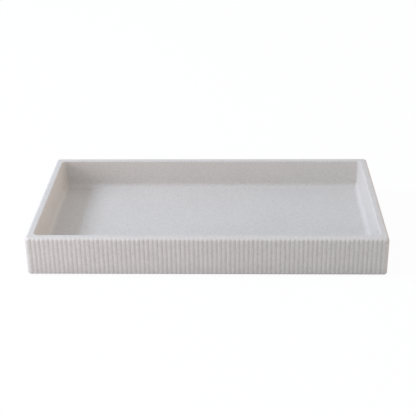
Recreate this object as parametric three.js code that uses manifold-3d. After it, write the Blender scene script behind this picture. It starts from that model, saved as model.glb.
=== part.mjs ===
// A vanity tray: one cast body with ribbed outer walls, standing on four stick-on foot pads.
// Millimetres, +Z up. The origin is on the counter under the middle of the tray, +X runs along its length.
import * as THREE from "three";
import { mergeVertices } from "three/addons/utils/BufferGeometryUtils.js";
import Module from "manifold-3d";

// Ribs on the outer walls: round beads side by side, with a narrow groove between each two
const RIB_PITCH = 3.75;
const RIB_DEPTH = 0.6;
const GROOVES_ALONG_LENGTH = 78;
const GROOVES_ALONG_WIDTH = 42;

// Cast body
const CORNER_RADIUS = 3.75;
const LENGTH = GROOVES_ALONG_LENGTH * RIB_PITCH + 2 * CORNER_RADIUS;
const WIDTH = GROOVES_ALONG_WIDTH * RIB_PITCH + 2 * CORNER_RADIUS;
const BODY_HEIGHT = 34;
const RIM_OUTER_ROUNDING = 2.8;
const RIM_INNER_ROUNDING = 1;
const FOOT_ROUNDING = 1.5;

// Well inside the body. The draft is how much further in its wall stands at the foot than at the rim.
const WALL = 6.8;
const WALL_DRAFT = 0.8;
const FLOOR_THICKNESS = 7;
const FLOOR_FILLET = 4.5;
const WELL_CORNER_RADIUS = 3.75;
const LEAST_CORNER_RADIUS = 0.3;

// Foot pads, and the sockets under the body that hold them
const PAD_DIAMETER = 14;
const PAD_THICKNESS = 1.9;
const PAD_CHAMFER = 0.4;
const ADHESIVE_DIAMETER = 13;
const ADHESIVE_THICKNESS = 0.3;
const SOCKET_DIAMETER = 15;
const SOCKET_DEPTH = 1;
const PAD_INSET = 26;

// Levels above the counter
const BODY_BOTTOM = PAD_THICKNESS + ADHESIVE_THICKNESS - SOCKET_DEPTH;
const BODY_TOP = BODY_BOTTOM + BODY_HEIGHT;
const WELL_FLOOR = BODY_BOTTOM + FLOOR_THICKNESS;

// How many flats stand for each round stretch, and how far a cutter stands clear of what it cuts
const HALF_BEAD_FLATS = 2;
const CORNER_FLATS = 6;
const OUTER_RIM_FLATS = 2;
const INNER_RIM_FLATS = 3;
const FILLET_FLATS = 5;
const ROUND_FLATS = 40;
const CUT_CLEARANCE = 5;

const QUARTER_TURN = Math.PI / 2;

const castStone = new THREE.MeshStandardMaterial({ color: 0xd0ccc7, roughness: 0.62, metalness: 0 });
const padRubber = new THREE.MeshStandardMaterial({ color: 0xb9b8b4, roughness: 0.6, metalness: 0 });
const adhesiveFilm = new THREE.MeshStandardMaterial({ color: 0xe6e2d2, roughness: 0.4, metalness: 0 });

const wasm = await Module();
wasm.setup();

function toSolid(geometry) {
  geometry.deleteAttribute("normal");
  geometry.deleteAttribute("uv");
  const welded = mergeVertices(geometry);
  const vertProperties = new Float32Array(welded.attributes.position.array);
  const triVerts = new Uint32Array(welded.index.array);
  return new wasm.Manifold(new wasm.Mesh({ numProp: 3, vertProperties, triVerts }));
}

function toGeometry(solid) {
  const { vertProperties, triVerts } = solid.getMesh();
  const geometry = new THREE.BufferGeometry();
  geometry.setAttribute("position", new THREE.BufferAttribute(vertProperties, 3));
  geometry.setIndex(new THREE.BufferAttribute(triVerts, 1));
  const faceted = geometry.toNonIndexed();
  faceted.computeVertexNormals();
  return faceted;
}

// A closed skin over loops of as many points each, from the lowest to the highest, with flat end caps.
function loft(loops) {
  const count = loops[0].length;
  const middle = (loop) => new THREE.Vector3(0, 0, loop[0].z);
  const points = [...loops.flat(), middle(loops[0]), middle(loops.at(-1))];
  const lowMiddle = points.length - 2;
  const highMiddle = points.length - 1;
  const lastLoop = (loops.length - 1) * count;
  const triangles = [];
  for (let i = 0; i < count; i += 1) {
    const next = (i + 1) % count;
    for (let start = 0; start < lastLoop; start += count) {
      triangles.push(start + i, start + next, start + count + next);
      triangles.push(start + i, start + count + next, start + count + i);
    }
    triangles.push(lowMiddle, next, i);
    triangles.push(highMiddle, lastLoop + i, lastLoop + next);
  }
  return new THREE.BufferGeometry().setFromPoints(points).setIndex(triangles);
}

// The four sides in turn, counter-clockwise from the front: the ways each faces and runs, the grooves on it,
// how far out it is and half its length
function sides() {
  return [0, 1, 2, 3].map((quarter) => {
    const facing = (quarter - 1) * QUARTER_TURN;
    const outward = new THREE.Vector2(Math.round(Math.cos(facing)), Math.round(Math.sin(facing)));
    const along = new THREE.Vector2(-outward.y, outward.x);
    const isLong = outward.x === 0;
    const grooves = isLong ? GROOVES_ALONG_LENGTH : GROOVES_ALONG_WIDTH;
    const reach = (isLong ? WIDTH : LENGTH) / 2;
    const halfSide = (isLong ? LENGTH : WIDTH) / 2;
    return { facing, outward, along, grooves, reach, halfSide };
  });
}

function direction(angle) {
  return new THREE.Vector2(Math.cos(angle), Math.sin(angle));
}

function beadDepth(fromCrest) {
  const radius = (RIB_PITCH ** 2 / 4 + RIB_DEPTH ** 2) / (2 * RIB_DEPTH);
  return radius - Math.sqrt(radius ** 2 - fromCrest ** 2);
}

// Points once around the line of the crests, each with the way it faces and how deep the ribs lie behind it.
// Each side starts and ends on a crest, where it meets the round corner without a step.
function crestLine() {
  const points = [];
  for (const { facing, outward, along, grooves, reach } of sides()) {
    const halfRun = (grooves * RIB_PITCH) / 2;
    for (let step = 0; step < 2 * HALF_BEAD_FLATS * grooves; step += 1) {
      const alongSide = (step * RIB_PITCH) / (2 * HALF_BEAD_FLATS);
      const fromCrest = Math.abs(alongSide - Math.round(alongSide / RIB_PITCH) * RIB_PITCH);
      const place = outward.clone().multiplyScalar(reach).addScaledVector(along, alongSide - halfRun);
      points.push({ place, outward, depth: beadDepth(fromCrest) });
    }
    const corner = outward.clone().multiplyScalar(reach - CORNER_RADIUS).addScaledVector(along, halfRun);
    for (let step = 0; step < CORNER_FLATS; step += 1) {
      const facingOut = direction(facing + (step / CORNER_FLATS) * QUARTER_TURN);
      const place = corner.clone().addScaledVector(facingOut, CORNER_RADIUS);
      points.push({ place, outward: facingOut, depth: 0 });
    }
  }
  return points;
}

// The outside of the body. The ribs fade out where the wall turns in at the foot and over the rim.
function bodyOutside() {
  const crests = crestLine();
  const loopAt = (inset, ribs, z) =>
    crests.map(({ place, outward, depth }) => {
      const point = place.clone().addScaledVector(outward, -inset - ribs * depth);
      return new THREE.Vector3(point.x, point.y, z);
    });
  const loops = [loopAt(FOOT_ROUNDING, 0, BODY_BOTTOM), loopAt(0, 1, BODY_BOTTOM + FOOT_ROUNDING)];
  for (let step = 0; step <= OUTER_RIM_FLATS; step += 1) {
    const angle = (step / OUTER_RIM_FLATS) * QUARTER_TURN;
    const ribs = Math.cos(angle);
    const z = BODY_TOP - RIM_OUTER_ROUNDING * (1 - Math.sin(angle));
    loops.push(loopAt(RIM_OUTER_ROUNDING * (1 - ribs), ribs, z));
  }
  return toSolid(loft(loops));
}

// A rounded rectangle that far inside the line of the crests
function wellLoop(inset, z) {
  const radius = Math.max(WELL_CORNER_RADIUS - (inset - WALL), LEAST_CORNER_RADIUS);
  const loop = [];
  for (const { facing, outward, along, reach, halfSide } of sides()) {
    const corner = outward.clone().multiplyScalar(reach - inset - radius);
    corner.addScaledVector(along, halfSide - inset - radius);
    for (let step = 0; step <= CORNER_FLATS; step += 1) {
      const facingOut = direction(facing + (step / CORNER_FLATS) * QUARTER_TURN);
      const point = corner.clone().addScaledVector(facingOut, radius);
      loop.push(new THREE.Vector3(point.x, point.y, z));
    }
  }
  return loop;
}

// The space inside: a flat floor, a round fillet, walls that lean out a little, and a rounded mouth.
function well() {
  const foot = WALL + WALL_DRAFT;
  const loops = [];
  for (let step = 0; step <= FILLET_FLATS; step += 1) {
    const angle = (step / FILLET_FLATS) * QUARTER_TURN;
    const inset = foot + FLOOR_FILLET * (1 - Math.sin(angle));
    loops.push(wellLoop(inset, WELL_FLOOR + FLOOR_FILLET * (1 - Math.cos(angle))));
  }
  for (let step = 0; step <= INNER_RIM_FLATS; step += 1) {
    const angle = (step / INNER_RIM_FLATS) * QUARTER_TURN;
    const inset = WALL - RIM_INNER_ROUNDING * (1 - Math.cos(angle));
    loops.push(wellLoop(inset, BODY_TOP - RIM_INNER_ROUNDING * (1 - Math.sin(angle))));
  }
  loops.push(wellLoop(WALL - RIM_INNER_ROUNDING, BODY_TOP + CUT_CLEARANCE));
  return toSolid(loft(loops));
}

function socket(x, y) {
  const radius = SOCKET_DIAMETER / 2;
  const cutter = new THREE.CylinderGeometry(radius, radius, 2 * SOCKET_DEPTH, ROUND_FLATS);
  cutter.rotateX(QUARTER_TURN);
  cutter.translate(x, y, BODY_BOTTOM);
  return toSolid(cutter);
}

function trayBody(padPlaces) {
  let solid = bodyOutside().subtract(well());
  for (const { x, y } of padPlaces) {
    solid = solid.subtract(socket(x, y));
  }
  return toGeometry(solid);
}

function footPad() {
  const radius = PAD_DIAMETER / 2;
  const profile = [
    new THREE.Vector2(0, 0),
    new THREE.Vector2(radius - PAD_CHAMFER, 0),
    new THREE.Vector2(radius, PAD_CHAMFER),
    new THREE.Vector2(radius, PAD_THICKNESS),
    new THREE.Vector2(0, PAD_THICKNESS),
  ];
  return new THREE.LatheGeometry(profile, ROUND_FLATS).rotateX(QUARTER_TURN);
}

function adhesiveDisc() {
  const radius = ADHESIVE_DIAMETER / 2;
  return new THREE.CylinderGeometry(radius, radius, ADHESIVE_THICKNESS, ROUND_FLATS).rotateX(QUARTER_TURN);
}

const padX = LENGTH / 2 - PAD_INSET;
const padY = WIDTH / 2 - PAD_INSET;
const padPlaces = [
  { corner: "front_left", x: -padX, y: -padY },
  { corner: "front_right", x: padX, y: -padY },
  { corner: "back_left", x: -padX, y: padY },
  { corner: "back_right", x: padX, y: padY },
];

const tray = new THREE.Group();

function addPiece(name, geometry, material, x, y, z) {
  const mesh = new THREE.Mesh(geometry, material);
  mesh.name = name;
  mesh.position.set(x, y, z);
  tray.add(mesh);
}

addPiece("tray_body", trayBody(padPlaces), castStone, 0, 0, 0);
const adhesiveLevel = PAD_THICKNESS + ADHESIVE_THICKNESS / 2;
for (const { corner, x, y } of padPlaces) {
  addPiece(`foot_pad_${corner}`, footPad(), padRubber, x, y, 0);
  addPiece(`adhesive_disc_${corner}`, adhesiveDisc(), adhesiveFilm, x, y, adhesiveLevel);
}

export default tray;
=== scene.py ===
import math

import bmesh
import bpy
from mathutils import Color, Matrix, Vector


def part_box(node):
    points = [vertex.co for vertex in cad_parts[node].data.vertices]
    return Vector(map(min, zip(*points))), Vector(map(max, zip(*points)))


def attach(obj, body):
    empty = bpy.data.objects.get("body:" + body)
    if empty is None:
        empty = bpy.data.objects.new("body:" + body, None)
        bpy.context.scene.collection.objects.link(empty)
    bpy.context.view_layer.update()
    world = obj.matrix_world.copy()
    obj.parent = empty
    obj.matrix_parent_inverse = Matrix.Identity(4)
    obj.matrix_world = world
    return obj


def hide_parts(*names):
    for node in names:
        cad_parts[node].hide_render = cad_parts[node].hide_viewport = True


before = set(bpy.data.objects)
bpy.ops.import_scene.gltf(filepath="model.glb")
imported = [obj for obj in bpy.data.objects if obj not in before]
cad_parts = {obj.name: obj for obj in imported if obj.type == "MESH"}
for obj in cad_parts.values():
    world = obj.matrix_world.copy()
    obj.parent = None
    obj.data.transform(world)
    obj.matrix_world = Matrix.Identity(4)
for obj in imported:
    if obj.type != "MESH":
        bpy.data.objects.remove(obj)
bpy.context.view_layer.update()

# Tray body. One casting of resin filled with fine stone powder: floor, walls, rim and ribs come out of a
# soft mould together. The rim and the foot of the walls are eased by hand. The crests of the ribs are paler
# in patches, partly from rubbing and partly as a painted highlight, and the rim's edges are paler from wear
# and a painted highlight. Painted shade darkens the walls towards the foot. The underside is ground flat,
# with a shallow round socket near each corner for a foot pad.
MM = 0.001
RIB_PITCH = 3.75 * MM
RIB_DEPTH = 0.6 * MM
GROOVE_SOFTNESS = 0.15 * MM
RIB_FADE_POWER = 3
CORNER_RADIUS = 3.75 * MM
RIM_OUTER_ROUNDING = 2.8 * MM
RIM_INNER_ROUNDING = 1 * MM
# Paleness of the flat rim top: wear and a painted highlight.
RIM_FLAT_WEAR_AND_HIGHLIGHT = 0.4
FOOT_ROUNDING = 1.5 * MM
WALL = 6.8 * MM
WALL_DRAFT = 0.8 * MM
FLOOR_THICKNESS = 7 * MM
FLOOR_FILLET = 4.5 * MM
WELL_CORNER_RADIUS = 3.75 * MM
LEAST_CORNER_RADIUS = 0.25 * MM
SOCKET_RADIUS = 7.5 * MM
SOCKET_DEPTH = 1 * MM
# A strip this wide beside each rounding keeps the smooth shading from running out over the flat.
FLAT_MARGIN = 0.25 * MM
STEPS_TO_GROOVE = 6
CORNER_STEPS = 12
EDGE_STEPS = 8
ROUND_STEPS = 64
QUARTER_TURN = math.pi / 2
SHARP_ANGLE = math.radians(40)

body_low, body_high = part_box("tray_body")
bottom = body_low.z
top = body_high.z
pad_corners = ("front_left", "front_right", "back_left", "back_right")


def middle(node):
    low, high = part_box(node)
    return (low + high) / 2


def sides():
    """Each side in turn: the direction it faces, the direction along it, how far out its crests lie, and
    half the length of its straight part."""
    for quarter in range(4):
        angle = (quarter - 1) * QUARTER_TURN
        outward = Vector((round(math.cos(angle)), round(math.sin(angle))))
        along = Vector((-outward.y, outward.x))
        reach = abs(outward.x) * body_high.x + abs(outward.y) * body_high.y
        half_run = abs(along.x) * body_high.x + abs(along.y) * body_high.y - CORNER_RADIUS
        yield outward, along, reach, half_run


def quarter_angles(steps):
    """Angles from none to a quarter turn."""
    return [step / steps * QUARTER_TURN for step in range(steps + 1)]


def turned(outward, along, angle):
    """The direction that far round from outward towards along."""
    return outward * math.cos(angle) + along * math.sin(angle)


def bead_depth(from_groove):
    """How far the wall lies behind the crests, at a distance from the middle of a groove."""
    half_bead = RIB_PITCH / 2 - GROOVE_SOFTNESS
    radius = (half_bead ** 2 + RIB_DEPTH ** 2) / (2 * RIB_DEPTH)
    from_crest = RIB_PITCH / 2 - math.hypot(from_groove, GROOVE_SOFTNESS)
    return radius - math.sqrt(radius ** 2 - from_crest ** 2)


def wall_samples():
    """Once around the outer wall: points on the line of the crests, outward directions and rib depths.
    The points stand closer together towards the middle of a groove."""
    samples = []
    for outward, along, reach, half_run in sides():
        for groove in range(round(2 * half_run / RIB_PITCH)):
            centre = (groove + 0.5) * RIB_PITCH - half_run
            for step in range(-STEPS_TO_GROOVE, STEPS_TO_GROOVE):
                share = 1 - math.sin((1 - abs(step) / STEPS_TO_GROOVE) * QUARTER_TURN)
                offset = math.copysign(share, step) * RIB_PITCH / 2
                place = outward * reach + along * (centre + offset)
                samples.append((place, outward, bead_depth(offset)))
        corner = outward * (reach - CORNER_RADIUS) + along * half_run
        for angle in quarter_angles(CORNER_STEPS)[:-1]:
            direction = turned(outward, along, angle)
            samples.append((corner + direction * CORNER_RADIUS, direction, 0.0))
    return samples


def rim_wear_and_highlight(angle):
    """Wear and a painted highlight over the rim's outer edge, from none on the wall to those of the flat
    top.
    """
    return max(math.sin(2 * angle), RIM_FLAT_WEAR_AND_HIGHLIGHT * math.sin(angle))


def outside_levels():
    """From the underside to the top of the rim: how far the wall lies back, how much of the ribs is left,
    the height, and the wear with its painted highlight. The ribs fade out around the eased edges, sooner at
    the rim."""
    levels = [(FOOT_ROUNDING + FLAT_MARGIN, 0.0, bottom, 0.0)]
    for angle in quarter_angles(EDGE_STEPS):
        ribs = math.sin(angle)
        height = bottom + FOOT_ROUNDING * (1 - math.cos(angle))
        levels.append((FOOT_ROUNDING * (1 - ribs), ribs, height, 0.0))
    levels.append((0.0, 1.0, bottom + FOOT_ROUNDING + FLAT_MARGIN, 0.0))
    levels.append((0.0, 1.0, top - RIM_OUTER_ROUNDING - FLAT_MARGIN, 0.0))
    for angle in quarter_angles(EDGE_STEPS):
        back = RIM_OUTER_ROUNDING * (1 - math.cos(angle))
        ribs = math.cos(angle) ** RIB_FADE_POWER
        height = top - RIM_OUTER_ROUNDING * (1 - math.sin(angle))
        levels.append((back, ribs, height, rim_wear_and_highlight(angle)))
    levels.append((RIM_OUTER_ROUNDING + FLAT_MARGIN, 0.0, top, RIM_FLAT_WEAR_AND_HIGHLIGHT))
    return levels


def well_levels():
    """From the top of the rim to the floor: how far inside the crests the wall lies, height, and wear with
    its painted highlight.
    """
    floor_height = bottom + FLOOR_THICKNESS
    fillet_top = floor_height + FLOOR_FILLET
    foot_inset = WALL + WALL_DRAFT
    levels = [(WALL - RIM_INNER_ROUNDING - FLAT_MARGIN, top, RIM_FLAT_WEAR_AND_HIGHLIGHT)]
    for angle in reversed(quarter_angles(EDGE_STEPS)):
        inset = WALL - RIM_INNER_ROUNDING * (1 - math.cos(angle))
        height = top - RIM_INNER_ROUNDING * (1 - math.sin(angle))
        levels.append((inset, height, RIM_FLAT_WEAR_AND_HIGHLIGHT * math.sin(angle)))
    levels.append((WALL, top - RIM_INNER_ROUNDING - FLAT_MARGIN, 0.0))
    levels.append((foot_inset, fillet_top + FLAT_MARGIN, 0.0))
    for angle in quarter_angles(EDGE_STEPS):
        inset = foot_inset + FLOOR_FILLET * (1 - math.cos(angle))
        levels.append((inset, fillet_top - FLOOR_FILLET * math.sin(angle), 0.0))
    levels.append((foot_inset + FLOOR_FILLET + FLAT_MARGIN, floor_height, 0.0))
    return levels


def well_loop(inset):
    """A rounded rectangle that far inside the crests."""
    radius = max(WELL_CORNER_RADIUS - (inset - WALL), LEAST_CORNER_RADIUS)
    loop = []
    for outward, along, reach, half_run in sides():
        corner = outward * (reach - inset - radius) + along * (half_run + CORNER_RADIUS - inset - radius)
        for angle in quarter_angles(CORNER_STEPS):
            loop.append(corner + turned(outward, along, angle) * radius)
    return loop


def circle(centre, radius):
    """Points once around a centre."""
    loop = []
    for step in range(ROUND_STEPS):
        angle = step / ROUND_STEPS * 2 * math.pi
        loop.append(centre.xy + radius * Vector((math.cos(angle), math.sin(angle))))
    return loop


def add_loop(mesh, points, height):
    return [mesh.verts.new((point.x, point.y, height)) for point in points]


def skin(mesh, loops):
    """Quads between each closed loop and the next. All have the same number of points."""
    for lower, upper in zip(loops, loops[1:]):
        for index in range(len(lower)):
            after = (index + 1) % len(lower)
            mesh.faces.new((lower[index], lower[after], upper[after], upper[index]))


def loop_edges(mesh, loop):
    return [mesh.edges.get((loop[index - 1], loop[index])) for index in range(len(loop))]


def cast_tray():
    """The whole body. Each point also stores how ribbed the wall is there, how near to a crest it lies, and
    the wear with its painted highlight."""
    mesh = bmesh.new()
    ribbed_layer = mesh.verts.layers.float.new("ribbed")
    crest_layer = mesh.verts.layers.float.new("crest")
    wear_and_highlight_layer = mesh.verts.layers.float.new("wear_and_highlight")
    samples = wall_samples()
    outside = []
    for back, ribs, height, wear_and_highlight in outside_levels():
        points = [place - outward * (back + ribs * depth) for place, outward, depth in samples]
        loop = add_loop(mesh, points, height)
        for vertex, (_, _, depth) in zip(loop, samples):
            vertex[ribbed_layer] = ribs
            vertex[crest_layer] = ribs * (1 - depth / RIB_DEPTH)
            vertex[wear_and_highlight_layer] = wear_and_highlight
        outside.append(loop)
    well = []
    for inset, height, wear_and_highlight in well_levels():
        loop = add_loop(mesh, well_loop(inset), height)
        for vertex in loop:
            vertex[wear_and_highlight_layer] = wear_and_highlight
        well.append(loop)
    skin(mesh, outside)
    skin(mesh, well)

    underside_edges = loop_edges(mesh, outside[0])
    for corner in pad_corners:
        points = circle(middle(f"foot_pad_{corner}"), SOCKET_RADIUS)
        mouth = add_loop(mesh, points, bottom)
        ceiling = add_loop(mesh, points, bottom + SOCKET_DEPTH)
        skin(mesh, [mouth, ceiling])
        mesh.faces.new(ceiling)
        underside_edges += loop_edges(mesh, mouth)
    bmesh.ops.triangle_fill(mesh, use_beauty=True, edges=underside_edges)
    rim_edges = loop_edges(mesh, outside[-1]) + loop_edges(mesh, well[0])
    bmesh.ops.triangle_fill(mesh, use_beauty=True, edges=rim_edges)
    mesh.faces.new(well[-1])
    bmesh.ops.recalc_face_normals(mesh, faces=mesh.faces)
    return mesh


def add_piece(name, mesh, material):
    data = bpy.data.meshes.new(name)
    mesh.to_mesh(data)
    mesh.free()
    data.materials.append(material)
    data.shade_smooth()
    data.set_sharp_from_angle(angle=SHARP_ANGLE)
    piece = bpy.data.objects.new(name, data)
    bpy.context.scene.collection.objects.link(piece)
    return piece


class Wire:
    """A socket of a node tree. Sums and products of wires and numbers add Math nodes."""

    def __init__(self, tree, socket=None):
        self.tree = tree
        self.socket = socket

    def node(self, kind, settings, inputs, output=0):
        made = self.tree.nodes.new(kind)
        for name, value in settings.items():
            setattr(made, name, value)
        for name, value in inputs.items():
            if isinstance(value, Wire):
                self.tree.links.new(value.socket, made.inputs[name])
            else:
                made.inputs[name].default_value = value
        return Wire(self.tree, made.outputs[output] if made.outputs else None)

    def maths(self, operation, first, second):
        return self.node("ShaderNodeMath", {"operation": operation}, {0: first, 1: second})

    def __add__(self, other):
        return self.maths("ADD", self, other)

    def __sub__(self, other):
        return self.maths("SUBTRACT", self, other)

    def __rsub__(self, other):
        return self.maths("SUBTRACT", other, self)

    def __mul__(self, other):
        return self.maths("MULTIPLY", self, other)

    __radd__ = __add__
    __rmul__ = __mul__

    def either(self, other):
        """1 where this wire or the other is 1."""
        return self.maths("MAXIMUM", self, other)

    def rising(self, low, high):
        """0 below low and 1 above high, with a smooth change between."""
        settings = {"interpolation_type": "SMOOTHSTEP"}
        return self.node("ShaderNodeMapRange", settings, {"Value": self, "From Min": low, "From Max": high})

    def blend(self, first, second):
        """From the first colour, where this wire is 0, to the second, where it is 1."""
        return self.node("ShaderNodeMix", {"data_type": "RGBA"}, {0: self, 6: first, 7: second}, 2)


def paint(red, green, blue):
    """A colour written as screen values from 0 to 255."""
    on_screen = Color((red / 255, green / 255, blue / 255))
    return (*on_screen.from_srgb_to_scene_linear(), 1.0)


def new_material(name):
    material = bpy.data.materials.new(name)
    material.use_nodes = True
    material.node_tree.nodes.clear()
    return material, Wire(material.node_tree)


def close_material(wire, looks, relief, depth, strength):
    """A surface with these looks, and with fine relief of that depth in metres."""
    bump = {"Height": relief, "Distance": depth, "Strength": strength}
    normal = wire.node("ShaderNodeBump", {}, bump)
    surface = wire.node("ShaderNodeBsdfPrincipled", {}, {**looks, "Normal": normal})
    wire.node("ShaderNodeOutputMaterial", {}, {"Surface": surface})


def noise(wire, place, feature, detail=2.0, roughness=0.5):
    """Noise whose blotches are about that many metres across."""
    inputs = {"Vector": place, "Scale": 1 / feature, "Detail": detail, "Roughness": roughness}
    return wire.node("ShaderNodeTexNoise", {}, inputs)


def stored(wire, layer):
    """A value that the points of the mesh store."""
    return wire.node("ShaderNodeAttribute", {"attribute_name": layer}, {}, "Fac")


def upward(wire, vector):
    return wire.node("ShaderNodeSeparateXYZ", {}, {"Vector": vector}, "Z")


GRAIN_SIZE = 0.7 * MM
SAND_SIZE = 1.8 * MM
CLOUD_SIZE = 38 * MM
# Patches of paler crests: rubbing wear and a painted highlight.
RUBBED_AND_HIGHLIT_PATCH_SIZE = 4 * MM
SPECK_SPACING = 1.1 * MM
PINHOLE_SPACING = 9 * MM
STROKE_WIDTH = 0.5 * MM
STROKE_SQUEEZE = (0.03, 1.0, 1.0)
# Painted shade low on the ribbed walls, up to the first height, and on the foot rounding, fading above the
# second.
WALL_SHADE_HEIGHT = 13 * MM
FOOT_SHADE_HEIGHT = 0.5 * MM
STONE_RELIEF = 0.08 * MM


def dark_specks(wire, place):
    """Single dark grains, in a few of the cells of a net."""
    cells = {"Vector": place, "Scale": 1 / SPECK_SPACING}
    from_centre = wire.node("ShaderNodeTexVoronoi", {}, cells, "Distance")
    cell_colour = wire.node("ShaderNodeTexVoronoi", {}, cells, "Color")
    cell_number = wire.node("ShaderNodeSeparateColor", {}, {"Color": cell_colour}, "Red")
    return cell_number.rising(0.88, 0.9) * (1 - from_centre.rising(0.12, 0.3))


def pinholes(wire, place):
    """Small bubbles that the cast skin left open."""
    cells = {"Vector": place, "Scale": 1 / PINHOLE_SPACING}
    from_centre = wire.node("ShaderNodeTexVoronoi", {}, cells, "Distance")
    return 1 - from_centre.rising(0.02, 0.045)


def grinding_strokes(wire, place):
    """Fine strokes that run along the length of the tray."""
    squeezed = wire.node("ShaderNodeVectorMath", {"operation": "MULTIPLY"}, {0: place, 1: STROKE_SQUEEZE})
    return noise(wire, squeezed, STROKE_WIDTH).rising(0.45, 0.75)


def cast_stone():
    stone = paint(212, 208, 203)
    pale_sand = paint(225, 222, 219)
    grey_sand = paint(189, 185, 180)
    dark_grain = paint(160, 155, 148)
    # Colour of the painted shade at the foot.
    foot_shade = paint(188, 187, 186)
    material, wire = new_material("cast_stone")
    place = wire.node("ShaderNodeTexCoord", {}, {}, "Object")
    grain = noise(wire, place, GRAIN_SIZE, 3.0)
    sand = noise(wire, place, SAND_SIZE, 4.0, 0.75)
    cloud = noise(wire, place, CLOUD_SIZE, 3.0)
    # Where the crests are paler: rubbing wear and a painted highlight.
    rubbed_and_highlit = noise(wire, place, RUBBED_AND_HIGHLIT_PATCH_SIZE).rising(0.35, 0.65)
    speck = dark_specks(wire, place)
    pinhole = pinholes(wire, place)
    crest = stored(wire, "crest")
    wear_and_highlight = stored(wire, "wear_and_highlight")
    facing = wire.node("ShaderNodeNewGeometry", {}, {}, "True Normal")
    underside = 1 - upward(wire, facing).rising(-0.99, -0.9)
    grinding = underside * grinding_strokes(wire, place)
    height_up = upward(wire, place) - bottom
    shade_low_on_wall = stored(wire, "ribbed") * (1 - height_up.rising(0.0, WALL_SHADE_HEIGHT))
    shade_on_foot_edge = (1 - underside) * (1 - height_up.rising(FOOT_SHADE_HEIGHT, FOOT_ROUNDING))

    colour = (grain.rising(0.35, 0.7) * 0.4).blend(stone, pale_sand)
    colour = (sand.rising(0.4, 0.7) * 0.5).blend(colour, grey_sand)
    colour = (cloud.rising(0.4, 0.75) * 0.1).blend(colour, grey_sand)
    colour = (speck * 0.4).blend(colour, dark_grain)
    # Paler crests: partly rubbing wear, partly a painted highlight along the crests.
    colour = (crest.rising(0.0, 0.5) * 0.3 * rubbed_and_highlit).blend(colour, pale_sand)
    # Paler rim and eased edges: partly wear, partly a painted highlight.
    colour = (wear_and_highlight * 0.15).blend(colour, pale_sand)
    # Painted shade: darker towards the foot of the ribbed walls, and darkest on the rounding at the foot.
    colour = (shade_low_on_wall * 0.3 + shade_on_foot_edge * 0.8).blend(colour, foot_shade)
    colour = (grinding * 0.5).blend(colour, pale_sand)
    # Painted shade inside the pinholes.
    colour = (pinhole * 0.5).blend(colour, dark_grain)
    roughness = 0.6 + 0.14 * grain - 0.06 * wear_and_highlight
    looks = {"Base Color": colour, "Roughness": roughness, "Specular IOR Level": 0.35}
    relief = grain * 0.6 + sand * 0.4 - grinding * 0.6 - pinhole
    close_material(wire, looks, relief, STONE_RELIEF, strength=0.35)
    return material


tray_body = add_piece("cast_tray", cast_tray(), cast_stone())
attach(tray_body, "root")
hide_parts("tray_body")

# Foot pads. Four discs of solid silicone rubber, moulded with a rounded edge and a shallow dish below.
# Each is pressed on the adhesive disc in its socket, and keeps the tray from sliding on the counter.
PAD_ROUNDING = 0.5 * MM
PAD_DISH_DEPTH = 0.2 * MM
PAD_DISH_SHARE = 0.6
RUBBER_GRAIN_SIZE = 0.25 * MM
BLOOM_PATCH_SIZE = 4 * MM
LINT_SIZE = 0.6 * MM
RUBBER_RELIEF = 0.03 * MM


def foot_pad(node):
    low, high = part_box(node)
    radius = (high.x - low.x) / 2
    dish_radius = radius * PAD_DISH_SHARE
    profile = [(dish_radius - PAD_DISH_DEPTH, low.z + PAD_DISH_DEPTH), (dish_radius, low.z)]
    for angle in quarter_angles(EDGE_STEPS):
        across = radius - PAD_ROUNDING * (1 - math.sin(angle))
        profile.append((across, low.z + PAD_ROUNDING * (1 - math.cos(angle))))
    profile.append((radius, high.z))
    mesh = bmesh.new()
    loops = [add_loop(mesh, circle(middle(node), across), height) for across, height in profile]
    skin(mesh, loops)
    mesh.faces.new(loops[0])
    mesh.faces.new(loops[-1])
    bmesh.ops.recalc_face_normals(mesh, faces=mesh.faces)
    return mesh


def pad_rubber():
    rubber = paint(185, 184, 180)
    bloom = paint(204, 203, 199)
    lint = paint(150, 147, 142)
    material, wire = new_material("pad_rubber")
    place = wire.node("ShaderNodeTexCoord", {}, {}, "Object")
    grain = noise(wire, place, RUBBER_GRAIN_SIZE)
    patches = noise(wire, place, BLOOM_PATCH_SIZE, 3.0)
    dust = noise(wire, place, LINT_SIZE).rising(0.66, 0.72)
    colour = (patches.rising(0.4, 0.7) * 0.5).blend(rubber, bloom)
    colour = (dust * 0.4).blend(colour, lint)
    looks = {"Base Color": colour, "Roughness": 0.55 + 0.25 * patches}
    close_material(wire, looks, grain, RUBBER_RELIEF, strength=0.4)
    return material


rubber_finish = pad_rubber()
for corner in pad_corners:
    pad = add_piece(f"silicone_pad_{corner}", foot_pad(f"foot_pad_{corner}"), rubber_finish)
    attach(pad, "root")
    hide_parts(f"foot_pad_{corner}")

# Adhesive discs. Four thin discs of double-sided tape between the pads and the ceilings of their sockets,
# cut from film on a fibre tissue. Only their edges show, so the solids stay and take a finish of their own.
FIBRE_SIZE = 0.4 * MM
FIBRE_RELIEF = 0.02 * MM


def adhesive_film():
    film = paint(230, 226, 210)
    tissue = paint(241, 239, 230)
    material, wire = new_material("adhesive_film")
    place = wire.node("ShaderNodeTexCoord", {}, {}, "Object")
    fibres = noise(wire, place, FIBRE_SIZE, 4.0)
    colour = fibres.rising(0.45, 0.6).blend(film, tissue)
    looks = {"Base Color": colour, "Roughness": 0.3 + 0.3 * fibres}
    close_material(wire, looks, fibres, FIBRE_RELIEF, strength=0.3)
    return material


film_finish = adhesive_film()
for corner in pad_corners:
    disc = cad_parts[f"adhesive_disc_{corner}"]
    disc.material_slots[0].material = film_finish

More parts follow.
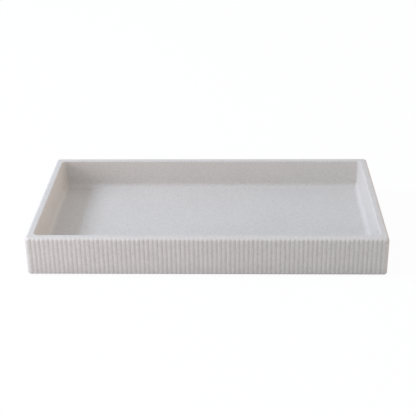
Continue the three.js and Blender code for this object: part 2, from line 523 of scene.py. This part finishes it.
# Studio. A pale table that the camera sees as white with a trace of the tray's shadow. The main soft lamp
# is high beyond the left end. A small one stands low and near at the front left, and a warm one low beyond
# the right end. Plain light comes from all around.
WHITE = (1.0, 1.0, 1.0, 1.0)
TABLE_SIZE = 8.0
TABLE_SHADOW_SHARE = 0.05
AROUND_COLOUR = (0.589, 0.609, 0.642, 1.0)


def background_ray(wire):
    """1 where the camera sees the stage, directly, in a gloss or through glass."""
    seen = wire.node("ShaderNodeLightPath", {}, {}, "Is Camera Ray")
    mirrored = wire.node("ShaderNodeLightPath", {}, {}, "Is Glossy Ray")
    through = wire.node("ShaderNodeLightPath", {}, {}, "Is Transmission Ray")
    return seen.either(mirrored).either(through)


def pale_table():
    """White to the camera, and a pale grey that throws light back to the tray."""
    pale_grey = paint(190, 190, 190)
    material, wire = new_material("pale_table")
    seen = background_ray(wire)
    lit = wire.node("ShaderNodeBsdfDiffuse", {}, {"Color": seen.blend(pale_grey, WHITE)})
    plain = wire.node("ShaderNodeEmission", {}, {"Color": WHITE, "Strength": 1.0})
    surface = wire.node("ShaderNodeMixShader", {}, {0: seen * (1 - TABLE_SHADOW_SHARE), 1: lit, 2: plain})
    wire.node("ShaderNodeOutputMaterial", {}, {"Surface": surface})
    return material


table = bmesh.new()
bmesh.ops.create_grid(table, x_segments=1, y_segments=1, size=TABLE_SIZE / 2)
floor = add_piece("table_top", table, pale_table())


def softbox(name, azimuth, elevation, distance, size, power, colour):
    """A square lamp turned to the tray. Azimuth 0 is straight in front of it, 90 beyond its left end."""
    lamp_data = bpy.data.lights.new(name, "AREA")
    lamp_data.shape = "SQUARE"
    lamp_data.size = size
    lamp_data.energy = power
    lamp_data.color = colour
    lamp = bpy.data.objects.new(name, lamp_data)
    across = math.radians(azimuth)
    up = math.radians(elevation)
    towards = Vector((-math.sin(across) * math.cos(up), -math.cos(across) * math.cos(up), math.sin(up)))
    lamp.location = towards * distance
    lamp.rotation_euler = towards.to_track_quat("Z", "Y").to_euler()
    lamp.visible_camera = False
    bpy.context.scene.collection.objects.link(lamp)


softbox("front_left_softbox", azimuth=40, elevation=10, distance=0.7, size=0.22, power=1.15,
        colour=(1.0, 0.89, 0.86))
softbox("left_softbox", azimuth=90, elevation=36, distance=1.8, size=0.5, power=20.65,
        colour=(0.73, 0.82, 1.0))
softbox("right_softbox", azimuth=-90, elevation=9, distance=2.6, size=0.8, power=16.33,
        colour=(1.0, 0.72, 0.53))

world = bpy.data.worlds.new("studio")
world.use_nodes = True
world.node_tree.nodes.clear()
around = Wire(world.node_tree)
fill = around.node("ShaderNodeBackground", {}, {"Color": AROUND_COLOUR, "Strength": 1.0})
plain = around.node("ShaderNodeBackground", {}, {"Color": WHITE, "Strength": 1.0})
sky = around.node("ShaderNodeMixShader", {}, {0: background_ray(around), 1: fill, 2: plain})
around.node("ShaderNodeOutputWorld", {}, {"Surface": sky})
bpy.context.scene.world = world
bpy.context.scene.view_settings.view_transform = "Standard"

# Camera. It stands in front of the tray and a little to the right of its middle, looks down on it, and is
# turned slightly to the left. Its place is measured from the foot of the front wall.
PHOTO_WIDTH = 416
FOCAL_PIXELS = 960.1
CAMERA_PLACE = Vector((26.5, -691.0, 405.3)) * MM
CAMERA_PITCH = math.radians(26.40)
CAMERA_YAW = math.radians(2.02)
CAMERA_ROLL = math.radians(0.87)
camera_data = bpy.data.cameras.new("photo_camera")
camera_data.lens = FOCAL_PIXELS / PHOTO_WIDTH * camera_data.sensor_width
camera = bpy.data.objects.new("photo_camera", camera_data)
turn = Matrix.Rotation(CAMERA_YAW, 4, "Z")
tilt = Matrix.Rotation(QUARTER_TURN - CAMERA_PITCH, 4, "X")
roll = Matrix.Rotation(-CAMERA_ROLL, 4, "Z")
front_foot = Vector((0.0, body_low.y, bottom))
camera.matrix_world = Matrix.Translation(front_foot + CAMERA_PLACE) @ turn @ tilt @ roll
bpy.context.scene.collection.objects.link(camera)
bpy.context.scene.camera = camera
